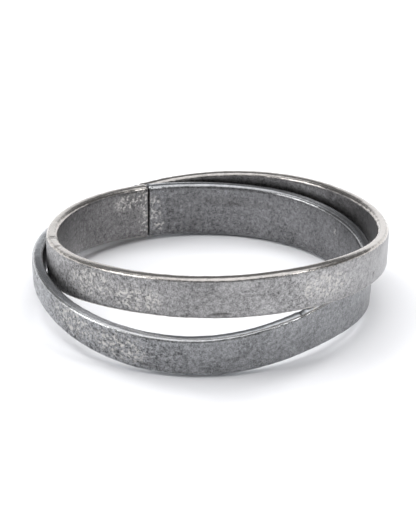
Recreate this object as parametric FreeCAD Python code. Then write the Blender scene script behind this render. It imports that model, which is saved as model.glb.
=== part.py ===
import FreeCAD, Part
import math
import os

# Two open bands of flat metal strip, wound through each other as a ring. Each band goes once
# round the finger opening. The upper band starts inside on the left, crosses over the lower
# one at the front and ends outside; the lower band is its mirror twin and ends the other way.
# The ends of both bands butt at one seam, left of the middle of the back.
# Frame: +Z up, origin on the floor under the centre of the finger opening, front towards -Y.

# Driving sizes, in millimetres and degrees
inside_diameter = 19.0
band_thickness = 0.78
edge_radius = 0.24
seam_angle = 204.0
end_gap = 0.08

# How far the strip's top leans outwards at the front, in degrees; it fades out towards the sides
upper_front_flare = 5.3
lower_front_flare = 9.2

# Clearance between the inner and the outer turn
left_clearance = 0.13
right_clearance = 0.17
back_clearance = 0.35

# Width of the strip, which is widest at its ends and tapers towards the front
inner_end_width = 3.66
outer_end_width = 3.16
upper_inner_width = 3.18
upper_front_width = 2.80
upper_outer_width = 2.51
lower_inner_width = 3.43
lower_front_width = 2.76
lower_outer_width = 1.97

# Height of the strip's lower edge above the floor
inner_end_height = 0.23
outer_end_height = 0.28
lower_back_left_height = 0.50
lower_left_height = 1.41
lower_left_corner_height = 0.70
lower_front_height = 0.06
lower_right_corner_height = 0.63
lower_right_height = 0.15
lower_back_right_height = 0.05
lower_back_height = 0.03
upper_back_left_height = 0.89
upper_left_height = 1.62
upper_right_height = 2.95
upper_back_right_height = 1.59

# Open gap from the lower band's top edge up to the upper band, where they cross
left_corner_gap = 0.12
front_gap = 1.14
right_corner_gap = 0.20

# Distance from the opening to the strip's inner face, for each turn
inner = 0.0
outer_left = band_thickness + left_clearance
outer_right = band_thickness + right_clearance
outer_back = band_thickness + back_clearance
outer_back_left = (outer_left + outer_back) / 2
outer_back_right = (outer_right + outer_back) / 2
crossing = (outer_left + outer_right) / 4

# Widths and heights that follow from the named ones
upper_back_left_width = (inner_end_width + upper_inner_width) / 2
upper_back_right_width = (outer_end_width + upper_outer_width) / 2
lower_back_left_width = (outer_end_width + lower_outer_width) / 2
lower_left_corner_width = (lower_outer_width + lower_front_width) / 2
lower_right_corner_width = (lower_inner_width + lower_front_width) / 2
lower_back_width = inner_end_width
upper_left_corner_height = lower_left_corner_height + lower_left_corner_width + left_corner_gap
upper_front_height = lower_front_height + lower_front_width + front_gap
upper_right_corner_height = (lower_right_corner_height + lower_right_corner_width
                             + right_corner_gap)

# Stations along each band: angle from the front (positive to the right), distance from the
# opening, height of the lower edge and width of the strip
lower_stations = [
    (seam_angle - 360, outer_back, outer_end_height, outer_end_width),
    (-120, outer_back_left, lower_back_left_height, lower_back_left_width),
    (-90, outer_left, lower_left_height, lower_outer_width),
    (-45, outer_left, lower_left_corner_height, lower_left_corner_width),
    (0, crossing, lower_front_height, lower_front_width),
    (45, inner, lower_right_corner_height, lower_right_corner_width),
    (90, inner, lower_right_height, lower_inner_width),
    (140, inner, lower_back_right_height, lower_back_width),
    (180, inner, lower_back_height, lower_back_width),
    (seam_angle, inner, inner_end_height, inner_end_width),
]
upper_stations = [
    (seam_angle - 360, inner, inner_end_height, inner_end_width),
    (-120, inner, upper_back_left_height, upper_back_left_width),
    (-90, inner, upper_left_height, upper_inner_width),
    (-45, inner, upper_left_corner_height, upper_front_width),
    (0, crossing, upper_front_height, upper_front_width),
    (45, outer_right, upper_right_corner_height, upper_front_width),
    (90, outer_right, upper_right_height, upper_outer_width),
    (150, outer_back_right, upper_back_right_height, upper_back_right_width),
    (seam_angle, outer_back, outer_end_height, outer_end_width),
]
section_count = 37
end_angle = math.degrees(end_gap / 2 / (inside_diameter / 2))


def smooth_run(stations):
    """A smooth curve of (distance, lower edge, width) whose parameter is the angle."""
    run = Part.BSplineCurve()
    points = [FreeCAD.Vector(distance, edge, width) for _, distance, edge, width in stations]
    angles = [float(angle) for angle, _, _, _ in stations]
    run.interpolate(Points=points, Parameters=angles)
    return run


def centre_point(run, angle):
    """The middle of the strip's section at this angle."""
    distance, edge, width = run.value(angle)
    radius = inside_diameter / 2 + band_thickness / 2 + distance
    turn = math.radians(angle)
    return FreeCAD.Vector(radius * math.sin(turn), -radius * math.cos(turn), edge + width / 2)


def section(run, front_flare, angle):
    """The strip's section at this angle: a rectangle with rounded corners, flared at the front."""
    centre = centre_point(run, angle)
    small_turn = 0.05
    along = centre_point(run, angle + small_turn) - centre_point(run, angle - small_turn)
    upright = FreeCAD.Vector(0, 0, 1)
    outward = along.cross(upright).normalize()
    nearness = (1 + math.cos(math.radians(angle))) / 2
    flare = math.radians(front_flare) * nearness ** 2
    across = outward * math.cos(flare) - upright * math.sin(flare)
    up = upright * math.cos(flare) + outward * math.sin(flare)
    half_width = run.value(angle).z / 2
    half_thickness = band_thickness / 2

    def place(x, z):
        return centre + across * x + up * z

    straight_x = half_thickness - edge_radius
    straight_z = half_width - edge_radius
    bulge = edge_radius * math.sqrt(0.5)
    edges = []
    for side, end in ((1, 1), (-1, 1), (-1, -1), (1, -1)):
        on_face = place(side * half_thickness, end * straight_z)
        corner = place(side * (straight_x + bulge), end * (straight_z + bulge))
        on_rim = place(side * straight_x, end * half_width)
        start, finish = (on_face, on_rim) if side == end else (on_rim, on_face)
        if edges:
            edges.append(Part.LineSegment(edges[-1].EndPoint, start))
        edges.append(Part.Arc(start, corner, finish))
    edges.append(Part.LineSegment(edges[-1].EndPoint, edges[0].StartPoint))
    return Part.Wire([edge.toShape() for edge in edges])


def band(stations, front_flare):
    """One band, lofted through its sections from end to end."""
    run = smooth_run(stations)
    first = stations[0][0] + end_angle
    last = stations[-1][0] - end_angle
    step = (last - first) / (section_count - 1)
    wires = [section(run, front_flare, first + i * step) for i in range(section_count)]
    return Part.makeLoft(wires, True, False)


os.makedirs("parts", exist_ok=True)
for name, stations, front_flare in (
    ("lower_band", lower_stations, lower_front_flare),
    ("upper_band", upper_stations, upper_front_flare),
):
    shape = band(stations, front_flare)
    shape.exportStep("parts/" + name + ".step")
    print(name, "valid", shape.isValid(), "volume", round(shape.Volume, 1), "mm3")
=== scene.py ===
import math

import bpy
import numpy as np
from mathutils import Matrix, Vector


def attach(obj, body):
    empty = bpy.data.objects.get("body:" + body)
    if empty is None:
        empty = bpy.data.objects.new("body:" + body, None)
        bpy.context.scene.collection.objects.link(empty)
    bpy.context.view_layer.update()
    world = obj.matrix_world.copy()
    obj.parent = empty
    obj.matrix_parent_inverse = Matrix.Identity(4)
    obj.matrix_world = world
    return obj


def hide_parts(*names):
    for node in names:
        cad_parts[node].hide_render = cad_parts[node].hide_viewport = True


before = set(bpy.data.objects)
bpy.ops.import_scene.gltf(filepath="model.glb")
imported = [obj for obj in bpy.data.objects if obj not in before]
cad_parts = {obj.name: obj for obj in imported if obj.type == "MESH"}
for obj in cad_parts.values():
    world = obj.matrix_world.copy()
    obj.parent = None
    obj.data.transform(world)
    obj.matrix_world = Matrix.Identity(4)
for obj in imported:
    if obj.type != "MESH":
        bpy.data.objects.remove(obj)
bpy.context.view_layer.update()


# ---- Upper band ------------------------------------------------------------------------------
# A flat strip of metal rolled into one open turn, with its edges rounded over and rubbed bright, painted
# brighter still at the sides where the lamps' edge highlights fall.
# Its faces are oxidised grey over a cast, sandy skin. It starts inside on the left, crosses over
# the lower band at the front, and ends outside, where its end butts against the lower band's.

mm = 0.001
quad_size = 0.084


def apply_modifiers(piece):
    """Applies every modifier on the piece, from the first to the last."""
    bpy.ops.object.select_all(action="DESELECT")
    bpy.context.view_layer.objects.active = piece
    piece.select_set(True)
    for modifier in list(piece.modifiers):
        bpy.ops.object.modifier_apply(modifier=modifier.name)


def smooth_between(values, low, high):
    """0 below low, 1 above high, and a smooth rise between."""
    share = np.clip((values - low) / (high - low), 0, 1)
    return share * share * (3 - 2 * share)


def soft_strip(node, name):
    """A copy of a CAD band as small even quads, in millimetres while it is being worked."""
    bpy.ops.object.select_all(action="DESELECT")
    piece = bpy.data.objects.new(name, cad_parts[node].data.copy())
    bpy.context.scene.collection.objects.link(piece)
    piece.data.materials.clear()
    piece.data.transform(Matrix.Scale(1 / mm, 4))
    bpy.context.view_layer.objects.active = piece
    piece.select_set(True)
    bpy.ops.object.mode_set(mode="EDIT")
    bpy.ops.mesh.select_all(action="SELECT")
    bpy.ops.mesh.remove_doubles(threshold=0.002)
    bpy.ops.object.mode_set(mode="OBJECT")
    remesh = piece.modifiers.new("even quads", "REMESH")
    remesh.mode = "VOXEL"
    remesh.voxel_size = quad_size
    remesh.use_smooth_shade = True
    ease = piece.modifiers.new("ease", "SMOOTH")
    ease.factor = 0.5
    ease.iterations = 2
    apply_modifiers(piece)
    return piece


def read_points(piece):
    """The piece's points and point normals, as two arrays."""
    count = len(piece.data.vertices)
    points = np.empty(count * 3, np.float32)
    piece.data.vertices.foreach_get("co", points)
    normals = np.empty(count * 3, np.float32)
    piece.data.vertex_normals.foreach_get("vector", normals)
    return points.reshape(-1, 3), normals.reshape(-1, 3)


def keep_value(piece, name, values):
    """Keeps one number a point on the piece, for its material to read."""
    attribute = piece.data.attributes.new(name, "FLOAT", "POINT")
    attribute.data.foreach_set("value", values.astype(np.float32))


def mark_surfaces(piece):
    """Tells the rounded edges and the inner face from the rest, before any relief is added."""
    points, normals = read_points(piece)
    radial = points[:, :2] / np.linalg.norm(points[:, :2], axis=1)[:, None]
    facing_out = (normals[:, :2] * radial).sum(1)
    upright = np.abs(normals[:, 2])
    edge = smooth_between(upright, 0.25, 0.55) * (1 - smooth_between(upright, 0.93, 0.985))
    rim = smooth_between(upright, 0.90, 0.985)
    keep_value(piece, "edge", edge)
    keep_value(piece, "rim", rim)
    keep_value(piece, "inner_face", smooth_between(-facing_out, 0.5, 0.8))


def along(angles, levels):
    """A level for every angle round the band, eased between a few (angle, level) pairs."""
    stations, values = zip(*levels)
    return np.interp(angles, stations, values)


def place_on_strip(points):
    """Each point's angle from the front in degrees, and its share of the way up the strip."""
    bin_count = 180
    angles = np.degrees(np.arctan2(points[:, 0], -points[:, 1]))
    bins = np.clip(((angles + 180) / 360 * bin_count).astype(int), 0, bin_count - 1)
    lowest = np.full(bin_count, np.inf)
    highest = np.full(bin_count, -np.inf)
    np.minimum.at(lowest, bins, points[:, 2])
    np.maximum.at(highest, bins, points[:, 2])
    share = (points[:, 2] - lowest[bins]) / (highest[bins] - lowest[bins])
    return angles, share


def weigh(piece, name, values):
    """Keeps one weight a point as a vertex group, in sixteen steps, for a modifier to follow."""
    group = piece.vertex_groups.new(name=name)
    step_count = 16
    steps = np.rint(np.clip(values, 0, 1) * step_count).astype(int)
    for step in range(1, step_count + 1):
        group.add(np.flatnonzero(steps == step).tolist(), step / step_count, "REPLACE")


def roughen(piece, name, grain, depth, group):
    """Sinks the surface by part of this depth, in lumps of this size, where the group says.

    Nearly all of the lumps' values are under the level that leaves a point where it is, so the
    surface sinks by about a third of the depth on average, and hardly a point rises.
    """
    lumps = bpy.data.textures.new(name, "CLOUDS")
    lumps.noise_scale = grain
    lumps.noise_depth = 2
    lumps.noise_basis = "IMPROVED_PERLIN"
    sink = piece.modifiers.new(name, "DISPLACE")
    sink.texture = lumps
    sink.texture_coords = "LOCAL"
    sink.mid_level = 0.8
    sink.strength = depth
    sink.vertex_group = group


def mark(piece, side, angle, share, size, depth):
    """Sinks one dent at a place on the strip, and gives its strength, 1 at its middle.

    The size is along and up the strip, in millimetres; on the rim only the first counts.
    """
    usual_strip_width = 2.6
    points, normals = read_points(piece)
    angles, shares = place_on_strip(points)
    radius = np.linalg.norm(points[:, :2], axis=1)
    radial = (normals[:, :2] * points[:, :2]).sum(1) / radius
    faces = {"outer": radial > 0.4, "inner": radial < -0.4, "rim": normals[:, 2] > 0.4}[side]
    turn = (angles - angle + 180) % 360 - 180
    along_reach = np.radians(turn) * radius / size[0]
    reach = np.hypot(along_reach, (shares - share) * usual_strip_width / size[1])
    if side == "rim":
        reach = np.abs(along_reach)
    strength = faces * (1 - smooth_between(reach, 0.5, 1.0))
    moved = points - normals * (strength * depth)[:, None]
    piece.data.vertices.foreach_set("co", moved.astype(np.float32).ravel())
    piece.data.update()
    return strength


# The seam's angle from the front; half the gap there; and how far from it the ends are drawn out
seam_angle = -156
half_seam_gap = 0.042
end_reach = 0.8


def square_ends(piece):
    """Draws the ends, which the even quads cut short, back out to where the metal really ends."""
    points, _ = read_points(piece)
    radius = np.hypot(points[:, 0], points[:, 1])
    angles, _ = place_on_strip(points)
    turn = np.radians((angles - seam_angle + 180) % 360 - 180)
    past_seam = np.abs(turn) * radius
    stretch = (end_reach - half_seam_gap) / (end_reach - past_seam.min())
    squared = end_reach - (end_reach - past_seam) * stretch
    turn = np.where(past_seam < end_reach, np.sign(turn) * squared / radius, turn)
    placed = turn + math.radians(seam_angle)
    points[:, 0] = radius * np.sin(placed)
    points[:, 1] = -radius * np.cos(placed)
    piece.data.vertices.foreach_set("co", points.ravel())
    piece.data.update()


def cast_skin(piece, sandy, rub_and_highlight_levels, tone, marks, bright_and_glint_patches):
    """Adds the cast skin, rubbed edges, dents, dark patches and bright bits, and keeps what the material
    reads; the edges' level round the band partly paints edge highlight, and the big bright patches on the
    outer faces are painted highlight specks.
    """
    points, _ = read_points(piece)
    angles, _ = place_on_strip(points)
    keep_value(piece, "sand", along(angles, sandy))
    keep_value(piece, "rub_and_highlight", along(angles, rub_and_highlight_levels))
    keep_value(piece, "tone", along(angles, tone))
    dark_marks = np.zeros(len(points))
    for side, angle, share, size, depth, darkness in marks:
        dark_marks = np.maximum(dark_marks, darkness * mark(piece, side, angle, share, size, depth))
    bright_metal_and_painted_glint = np.zeros(len(points))
    for side, angle, share, size in bright_and_glint_patches:
        bright_metal_and_painted_glint = np.maximum(bright_metal_and_painted_glint, mark(piece, side, angle, share, size, 0))
    keep_value(piece, "dark_marks", dark_marks)
    keep_value(piece, "bright_metal_and_painted_glint", bright_metal_and_painted_glint)
    edge = np.empty(len(points), np.float32)
    piece.data.attributes["edge"].data.foreach_get("value", edge)
    rim = np.empty(len(points), np.float32)
    piece.data.attributes["rim"].data.foreach_get("value", rim)
    past_seam = np.abs((angles - seam_angle + 180) % 360 - 180)
    clear_of_ends = smooth_between(past_seam, 0.8, 2.5)
    weigh(piece, "sandy", along(angles, sandy) * clear_of_ends * (1 - 0.8 * np.maximum(edge, rim)))
    weigh(piece, "edges", edge * clear_of_ends)
    weigh(piece, "all over", clear_of_ends)
    roughen(piece, "hand made waves", 1.6, 0.03, "all over")
    roughen(piece, "cast sand", 0.24, 0.05, "sandy")
    roughen(piece, "edge nicks", 0.45, 0.04, "edges")
    apply_modifiers(piece)
    piece.vertex_groups.clear()


upper_band = soft_strip("upper_band", "upper_band_metal")
square_ends(upper_band)
mark_surfaces(upper_band)
upper_sand = ((-180, 0.5), (-110, 0.5), (-70, 1.0), (-25, 0.8), (0, 0.45), (30, 0.6), (58, 0.3),
              (75, 0.05), (110, 0.4), (180, 0.5))
# Bare-edge level round the band: real rubbing, raised at the left and right sides to paint the lamps' edge
# highlights there.
upper_rub_and_highlight = ((-180, 0.3), (-100, 0.9), (-30, 0.95), (-10, 0.55), (20, 0.5), (45, 0.9), (90, 0.9),
              (140, 0.6), (180, 0.35))
upper_tone = ((-180, 1.0), (-90, 1.0), (-50, 0.85), (0, 0.85), (30, 1.15), (75, 1.2), (120, 1.0),
              (180, 1.0))
# Dents are darker with oxide in their hollows; the inner mark with no depth is a flat darker patch.
upper_marks = (("rim", -82, 1.0, (0.35, 1), 0.015, 0.5), ("rim", -71, 1.0, (0.22, 1), 0.015, 0.4),
               ("outer", -14, 0.13, (0.16, 0.16), 0.05, 0.9),
               ("outer", -8, 0.12, (0.12, 0.14), 0.04, 0.8),
               ("outer", 3, 0.14, (0.9, 0.09), 0.04, 0.9),
               ("outer", 63, 0.30, (0.16, 0.16), 0.05, 0.8),
               ("inner", -128, 0.4, (1.6, 1.2), 0.0, 0.12))
# Bright metal: at the seam (about −150°) it is solder; the three big patches on the outer faces, at the side
# lamps' highlights, are painted highlight specks.
upper_bright_and_glint_patches = (("inner", -153, 0.80, (0.9, 0.7)), ("inner", -154, 0.35, (0.5, 1.0)),
               ("inner", -146, 0.75, (1.3, 0.5)), ("outer", -46, 0.55, (2.6, 1.2)),
               ("outer", -26, 0.40, (2.2, 1.1)), ("outer", 38, 0.50, (2.4, 1.0)))
cast_skin(upper_band, upper_sand, upper_rub_and_highlight, upper_tone, upper_marks, upper_bright_and_glint_patches)
upper_band.data.transform(Matrix.Scale(mm, 4))


def new_node(tree, kind, **settings):
    """Adds a shader node of this kind and sets its options."""
    node = tree.nodes.new(kind)
    for name, value in settings.items():
        setattr(node, name, value)
    return node


def new_group(name, sockets_in, sockets_out):
    """An empty node group with these number inputs and outputs, and its two end nodes."""
    group = bpy.data.node_groups.new(name, "ShaderNodeTree")
    for socket, kind in sockets_in:
        group.interface.new_socket(name=socket, in_out="INPUT", socket_type=kind)
    for socket, kind in sockets_out:
        group.interface.new_socket(name=socket, in_out="OUTPUT", socket_type=kind)
    return group, group.nodes.new("NodeGroupInput"), group.nodes.new("NodeGroupOutput")


def calculate(tree, operation, first, second):
    """A Math node on two sockets or numbers, and its result."""
    node = new_node(tree, "ShaderNodeMath", operation=operation)
    for socket, source in zip(node.inputs, (first, second)):
        if isinstance(source, (int, float)):
            socket.default_value = source
        else:
            tree.links.new(source, socket)
    return node.outputs[0]


def add_noise(tree, place, scale, detail, roughness):
    """A noise pattern in lumps of 1 / scale millimetres."""
    noise = new_node(tree, "ShaderNodeTexNoise")
    noise.inputs["Scale"].default_value = scale
    noise.inputs["Detail"].default_value = detail
    noise.inputs["Roughness"].default_value = roughness
    tree.links.new(place, noise.inputs["Vector"])
    return noise.outputs["Fac"]


def remap(tree, value, low, high, bottom, top):
    """Spreads low..high over bottom..top, and holds it there past both."""
    node = new_node(tree, "ShaderNodeMapRange")
    for name, number in (("From Min", low), ("From Max", high), ("To Min", bottom), ("To Max", top)):
        node.inputs[name].default_value = number
    tree.links.new(value, node.inputs["Value"])
    return node.outputs["Result"]


def sandy_grain_group():
    """Sandy cast grain: how light each grain is, from 0 to about 2, and how high it stands."""
    group, start, end = new_group(
        "sandy grain", (("Place", "NodeSocketVector"), ("Sand", "NodeSocketFloat")),
        (("Shade", "NodeSocketFloat"), ("Height", "NodeSocketFloat")))
    place = start.outputs["Place"]
    fine = add_noise(group, place, 13.0, 2.0, 0.6)
    coarse = add_noise(group, place, 4.4, 4.0, 0.75)
    patches = add_noise(group, place, 0.45, 2.0, 0.5)
    mixed = calculate(group, "ADD", calculate(group, "MULTIPLY", fine, 0.4),
                      calculate(group, "MULTIPLY", coarse, 0.6))
    swing = calculate(group, "MULTIPLY", remap(group, mixed, 0.38, 0.64, -1.0, 1.5),
                      remap(group, start.outputs["Sand"], 0, 1, 0.10, 0.85))
    shade = calculate(group, "ADD", swing, remap(group, patches, 0.35, 0.65, 0.86, 1.12))
    group.links.new(shade, end.inputs["Shade"])
    group.links.new(mixed, end.inputs["Height"])
    return group


def bare_edge_and_highlight_group():
    """Where the oxide is rubbed off a rounded edge: broken up by grain, from 0 to 1, and scaled by a level
    round the band that also paints the edge highlight brighter at the sides.
    """
    group, start, end = new_group(
        "bare edge and painted highlight", (("Place", "NodeSocketVector"), ("Edge", "NodeSocketFloat"),
                      ("Edge_rub_and_highlight", "NodeSocketFloat")), (("Bare", "NodeSocketFloat"),))
    ragged = add_noise(group, start.outputs["Place"], 2.3, 4.0, 0.7)
    broken = calculate(group, "ADD", start.outputs["Edge"], remap(group, ragged, 0.3, 0.7, -0.55, 0.35))
    rubbed = remap(group, broken, 0.25, 0.75, 0, 1)
    group.links.new(calculate(group, "MULTIPLY", rubbed, start.outputs["Edge_rub_and_highlight"]), end.inputs["Bare"])
    return group


sandy_grain = sandy_grain_group()
bare_edge_and_highlight = bare_edge_and_highlight_group()


def oxidised_metal(name, face_colour, rim_colour, bare_colour):
    """Dark oxide over a sandy cast face, rubbed bright along the edges; the inner faces are darkened partly
    by painted shade, and painted highlight brightens the edges at the sides and specks the outer faces.
    """
    material = bpy.data.materials.new(name)
    material.use_nodes = True
    tree = material.node_tree
    link = tree.links.new
    shader = tree.nodes["Principled BSDF"]
    shader.inputs["Metallic"].default_value = 1.0
    place = new_node(tree, "ShaderNodeTexCoord")
    size = new_node(tree, "ShaderNodeMapping")
    size.inputs["Scale"].default_value = (1 / mm, 1 / mm, 1 / mm)
    link(place.outputs["Object"], size.inputs["Vector"])
    seen = {}
    for part in ("edge", "rim", "inner_face", "sand", "rub_and_highlight", "tone", "dark_marks", "bright_metal_and_painted_glint"):
        seen[part] = new_node(tree, "ShaderNodeAttribute", attribute_name=part).outputs["Fac"]

    grain = new_node(tree, "ShaderNodeGroup", node_tree=sandy_grain)
    link(size.outputs["Vector"], grain.inputs["Place"])
    link(seen["sand"], grain.inputs["Sand"])
    bare = new_node(tree, "ShaderNodeGroup", node_tree=bare_edge_and_highlight)
    link(size.outputs["Vector"], bare.inputs["Place"])
    link(seen["edge"], bare.inputs["Edge"])
    link(seen["rub_and_highlight"], bare.inputs["Edge_rub_and_highlight"])

    def blend(share, under, over, kind="MIX"):
        node = new_node(tree, "ShaderNodeMix", data_type="RGBA", blend_type=kind)
        for socket, source in (("Factor", share), ("A", under), ("B", over)):
            if isinstance(source, (tuple, float)):
                node.inputs[socket].default_value = source
            else:
                link(source, node.inputs[socket])
        return node.outputs["Result"]

    lightness = calculate(tree, "MULTIPLY", grain.outputs["Shade"], seen["tone"])
    face = blend(1.0, (*face_colour, 1), lightness, "MULTIPLY")
    # Inner faces made darker: partly oxide kept inside the ring, partly painted shade of the ring's inside.
    face = blend(seen["inner_face"], face, (0.68, 0.67, 0.67, 1), "MULTIPLY")
    face = blend(seen["rim"], face, (*rim_colour, 1))
    face = blend(bare.outputs["Bare"], face, (*bare_colour, 1))
    blotches = add_noise(tree, size.outputs["Vector"], 2.6, 3.0, 0.6)
    # Darker in these marks, broken up by blotches.
    darkened = calculate(tree, "MULTIPLY", seen["dark_marks"], remap(tree, blotches, 0.35, 0.6, 0.35, 1))
    face = blend(darkened, face, (0.06, 0.057, 0.055, 1))
    # Brightened by a speckle: bare metal at the seam and marks, and painted highlight specks on the outer
    # faces.
    speckle = add_noise(tree, size.outputs["Vector"], 5.0, 2.0, 0.6)
    bright_and_glint_share = calculate(tree, "MULTIPLY", seen["bright_metal_and_painted_glint"], remap(tree, speckle, 0.50, 0.62, 0, 0.8))
    face = blend(bright_and_glint_share, face, (0.62, 0.60, 0.57, 1))
    link(face, shader.inputs["Base Color"])

    smooth = calculate(tree, "MULTIPLY", seen["sand"], 0.12)
    flat = calculate(tree, "ADD", smooth, 0.34)
    polished = calculate(tree, "MULTIPLY", calculate(tree, "MAXIMUM", seen["edge"], seen["rim"]), 0.20)
    link(calculate(tree, "SUBTRACT", flat, polished), shader.inputs["Roughness"])
    bump = new_node(tree, "ShaderNodeBump")
    bump.inputs["Strength"].default_value = 0.7
    bump.inputs["Distance"].default_value = 0.03 * mm
    sandy_height = calculate(tree, "MULTIPLY", grain.outputs["Height"], seen["sand"])
    off_edges = calculate(tree, "SUBTRACT", 1.0, calculate(tree, "MULTIPLY", polished, 4.0))
    link(calculate(tree, "MULTIPLY", sandy_height, off_edges), bump.inputs["Height"])
    link(bump.outputs["Normal"], shader.inputs["Normal"])
    return material


upper_band.data.materials.append(oxidised_metal(
    "upper band oxidised metal", (0.280, 0.277, 0.278), (0.74, 0.71, 0.68), (0.74, 0.70, 0.66)))
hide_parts("upper_band")
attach(upper_band, "upper")


# ---- Lower band ------------------------------------------------------------------------------
# The upper band's mirror twin, from the same strip. It starts inside on the right, passes under
# the upper band at the front, and ends outside on the left. It is the one that rests on the table.

lower_band = soft_strip("lower_band", "lower_band_metal")
square_ends(lower_band)
mark_surfaces(lower_band)
lower_sand = ((-180, 0.5), (-100, 0.8), (-60, 1.0), (-25, 0.9), (0, 0.5), (40, 0.4), (80, 0.4),
              (180, 0.5))
# Bare-edge level round the band: real rubbing, raised on the left to paint the lamps' edge highlight there.
lower_rub_and_highlight = ((-180, 0.4), (-90, 0.85), (-20, 0.9), (0, 0.6), (25, 0.55), (60, 0.5), (180, 0.3))
lower_tone = ((-180, 1.0), (-70, 1.1), (-50, 0.85), (-25, 0.80), (0, 0.86), (30, 1.03), (90, 1.0), (180, 1.0))
# Dents are darker with oxide in their hollows; the inner marks with no depth are flat darker patches.
lower_marks = (("rim", 33, 1.0, (0.3, 1), 0.03, 0.5), ("outer", -20, 0.18, (0.8, 0.12), 0.03, 0.5),
               ("outer", 8, 0.40, (0.9, 0.2), 0.02, 0.35), ("outer", -52, 0.3, (0.2, 0.2), 0.04, 0.6),
               ("inner", 170, 0.70, (3.4, 0.35), 0.0, 0.35), ("inner", -170, 0.4, (1.8, 1.4), 0.0, 0.25),
               ("inner", 118, 0.62, (0.16, 0.5), 0.02, 0.3))
# Bright metal: at the seam, on the rim at 37° and inside at 121° it is real bare metal; the two big patches
# on the outer face at the left are painted highlight specks.
lower_bright_and_glint_patches = (("inner", -158, 0.55, (0.7, 0.9)), ("inner", -160, 0.25, (0.5, 0.4)),
               ("rim", 37, 1.0, (0.35, 1)), ("inner", 121, 0.62, (0.14, 0.6)),
               ("outer", -50, 0.6, (2.6, 1.2)), ("outer", -30, 0.5, (2.4, 1.2)))
cast_skin(lower_band, lower_sand, lower_rub_and_highlight, lower_tone, lower_marks, lower_bright_and_glint_patches)
lower_band.data.transform(Matrix.Scale(mm, 4))
lower_band.data.materials.append(oxidised_metal(
    "lower band oxidised metal", (0.268, 0.272, 0.280), (0.62, 0.64, 0.67), (0.66, 0.67, 0.68)))
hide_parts("lower_band")
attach(lower_band, "lower")


# ---- Table, studio light and camera ----------------------------------------------------------
# A plain white table top under a white surround: pale at the horizon, dark above it, and
# brightest overhead. A wide sheet and two lamps behind light the table and stay out of the
# metal's reflections; two softboxes in front and to the sides light its edges.

bpy.ops.mesh.primitive_circle_add(vertices=96, radius=0.9, fill_type="NGON", location=(0, 0, 0))
table = bpy.context.object
table.name = "table_top"
white = bpy.data.materials.new("white table")
white.use_nodes = True
white.node_tree.nodes["Principled BSDF"].inputs["Base Color"].default_value = (0.86, 0.865, 0.885, 1)
white.node_tree.nodes["Principled BSDF"].inputs["Roughness"].default_value = 0.6
table.data.materials.append(white)

surround = bpy.data.worlds.new("studio surround")
surround.use_nodes = True
bpy.context.scene.world = surround
tree = surround.node_tree
direction = new_node(tree, "ShaderNodeTexCoord")
parts = new_node(tree, "ShaderNodeSeparateXYZ")
tree.links.new(direction.outputs["Generated"], parts.inputs["Vector"])
bands = new_node(tree, "ShaderNodeValToRGB")
tree.links.new(parts.outputs["Z"], bands.inputs["Fac"])
brightest = 2.5
levels = ((0.0, 1.0), (0.26, 1.0), (0.36, 0.15), (0.74, 0.12), (0.88, 1.25), (1.0, 1.5))
ramp = bands.color_ramp
while len(ramp.elements) < len(levels):
    ramp.elements.new(0.5)
for element, (height, level) in zip(ramp.elements, levels):
    element.position = height
    share = level / brightest
    element.color = (share, share, share * 1.01, 1)
tree.links.new(bands.outputs["Color"], tree.nodes["Background"].inputs["Color"])
tree.nodes["Background"].inputs["Strength"].default_value = brightest

lamps = (("left back lamp", (-0.30, 0.26, 0.36), 0.16, 0.8),
         ("right back lamp", (0.30, 0.26, 0.36), 0.16, 0.8),
         ("overhead sheet", (0.0, 0.05, 0.60), 0.60, 1.7),
         ("left softbox", (-0.36, -0.08, 0.24), 0.22, 0.45),
         ("right softbox", (0.30, -0.16, 0.30), 0.12, 0.15))
for name, spot, width, power in lamps:
    bpy.ops.object.light_add(type="AREA", location=spot)
    lamp = bpy.context.object
    lamp.visible_glossy = name.endswith("softbox")
    lamp.name = name
    lamp.data.shape = "DISK"
    lamp.data.size = width
    lamp.data.energy = power
    lamp.rotation_euler = (-lamp.location).to_track_quat("-Z", "Y").to_euler()

camera_data = bpy.data.cameras.new("camera")
camera = bpy.data.objects.new("camera", camera_data)
bpy.context.scene.collection.objects.link(camera)
bpy.context.scene.camera = camera
elevation, azimuth, roll = math.radians(25.75), math.radians(0.99), math.radians(0.78)
aim = Vector((0, 0, 3.0 * mm))
toward = Vector((math.cos(elevation) * math.sin(azimuth),
                 math.cos(elevation) * math.cos(azimuth),
                 -math.sin(elevation)))
camera.location = aim - toward * 193.1 * mm
facing = toward.to_track_quat("-Z", "Y").to_matrix() @ Matrix.Rotation(roll, 3, "Z")
camera.rotation_euler = facing.to_euler()
camera_data.sensor_width = 36
camera_data.lens = 211.8
camera_data.shift_x = -0.0028
camera_data.shift_y = -0.0049
camera_data.clip_start = 0.01
camera_data.clip_end = 5
bpy.context.scene.view_settings.view_transform = "Standard"
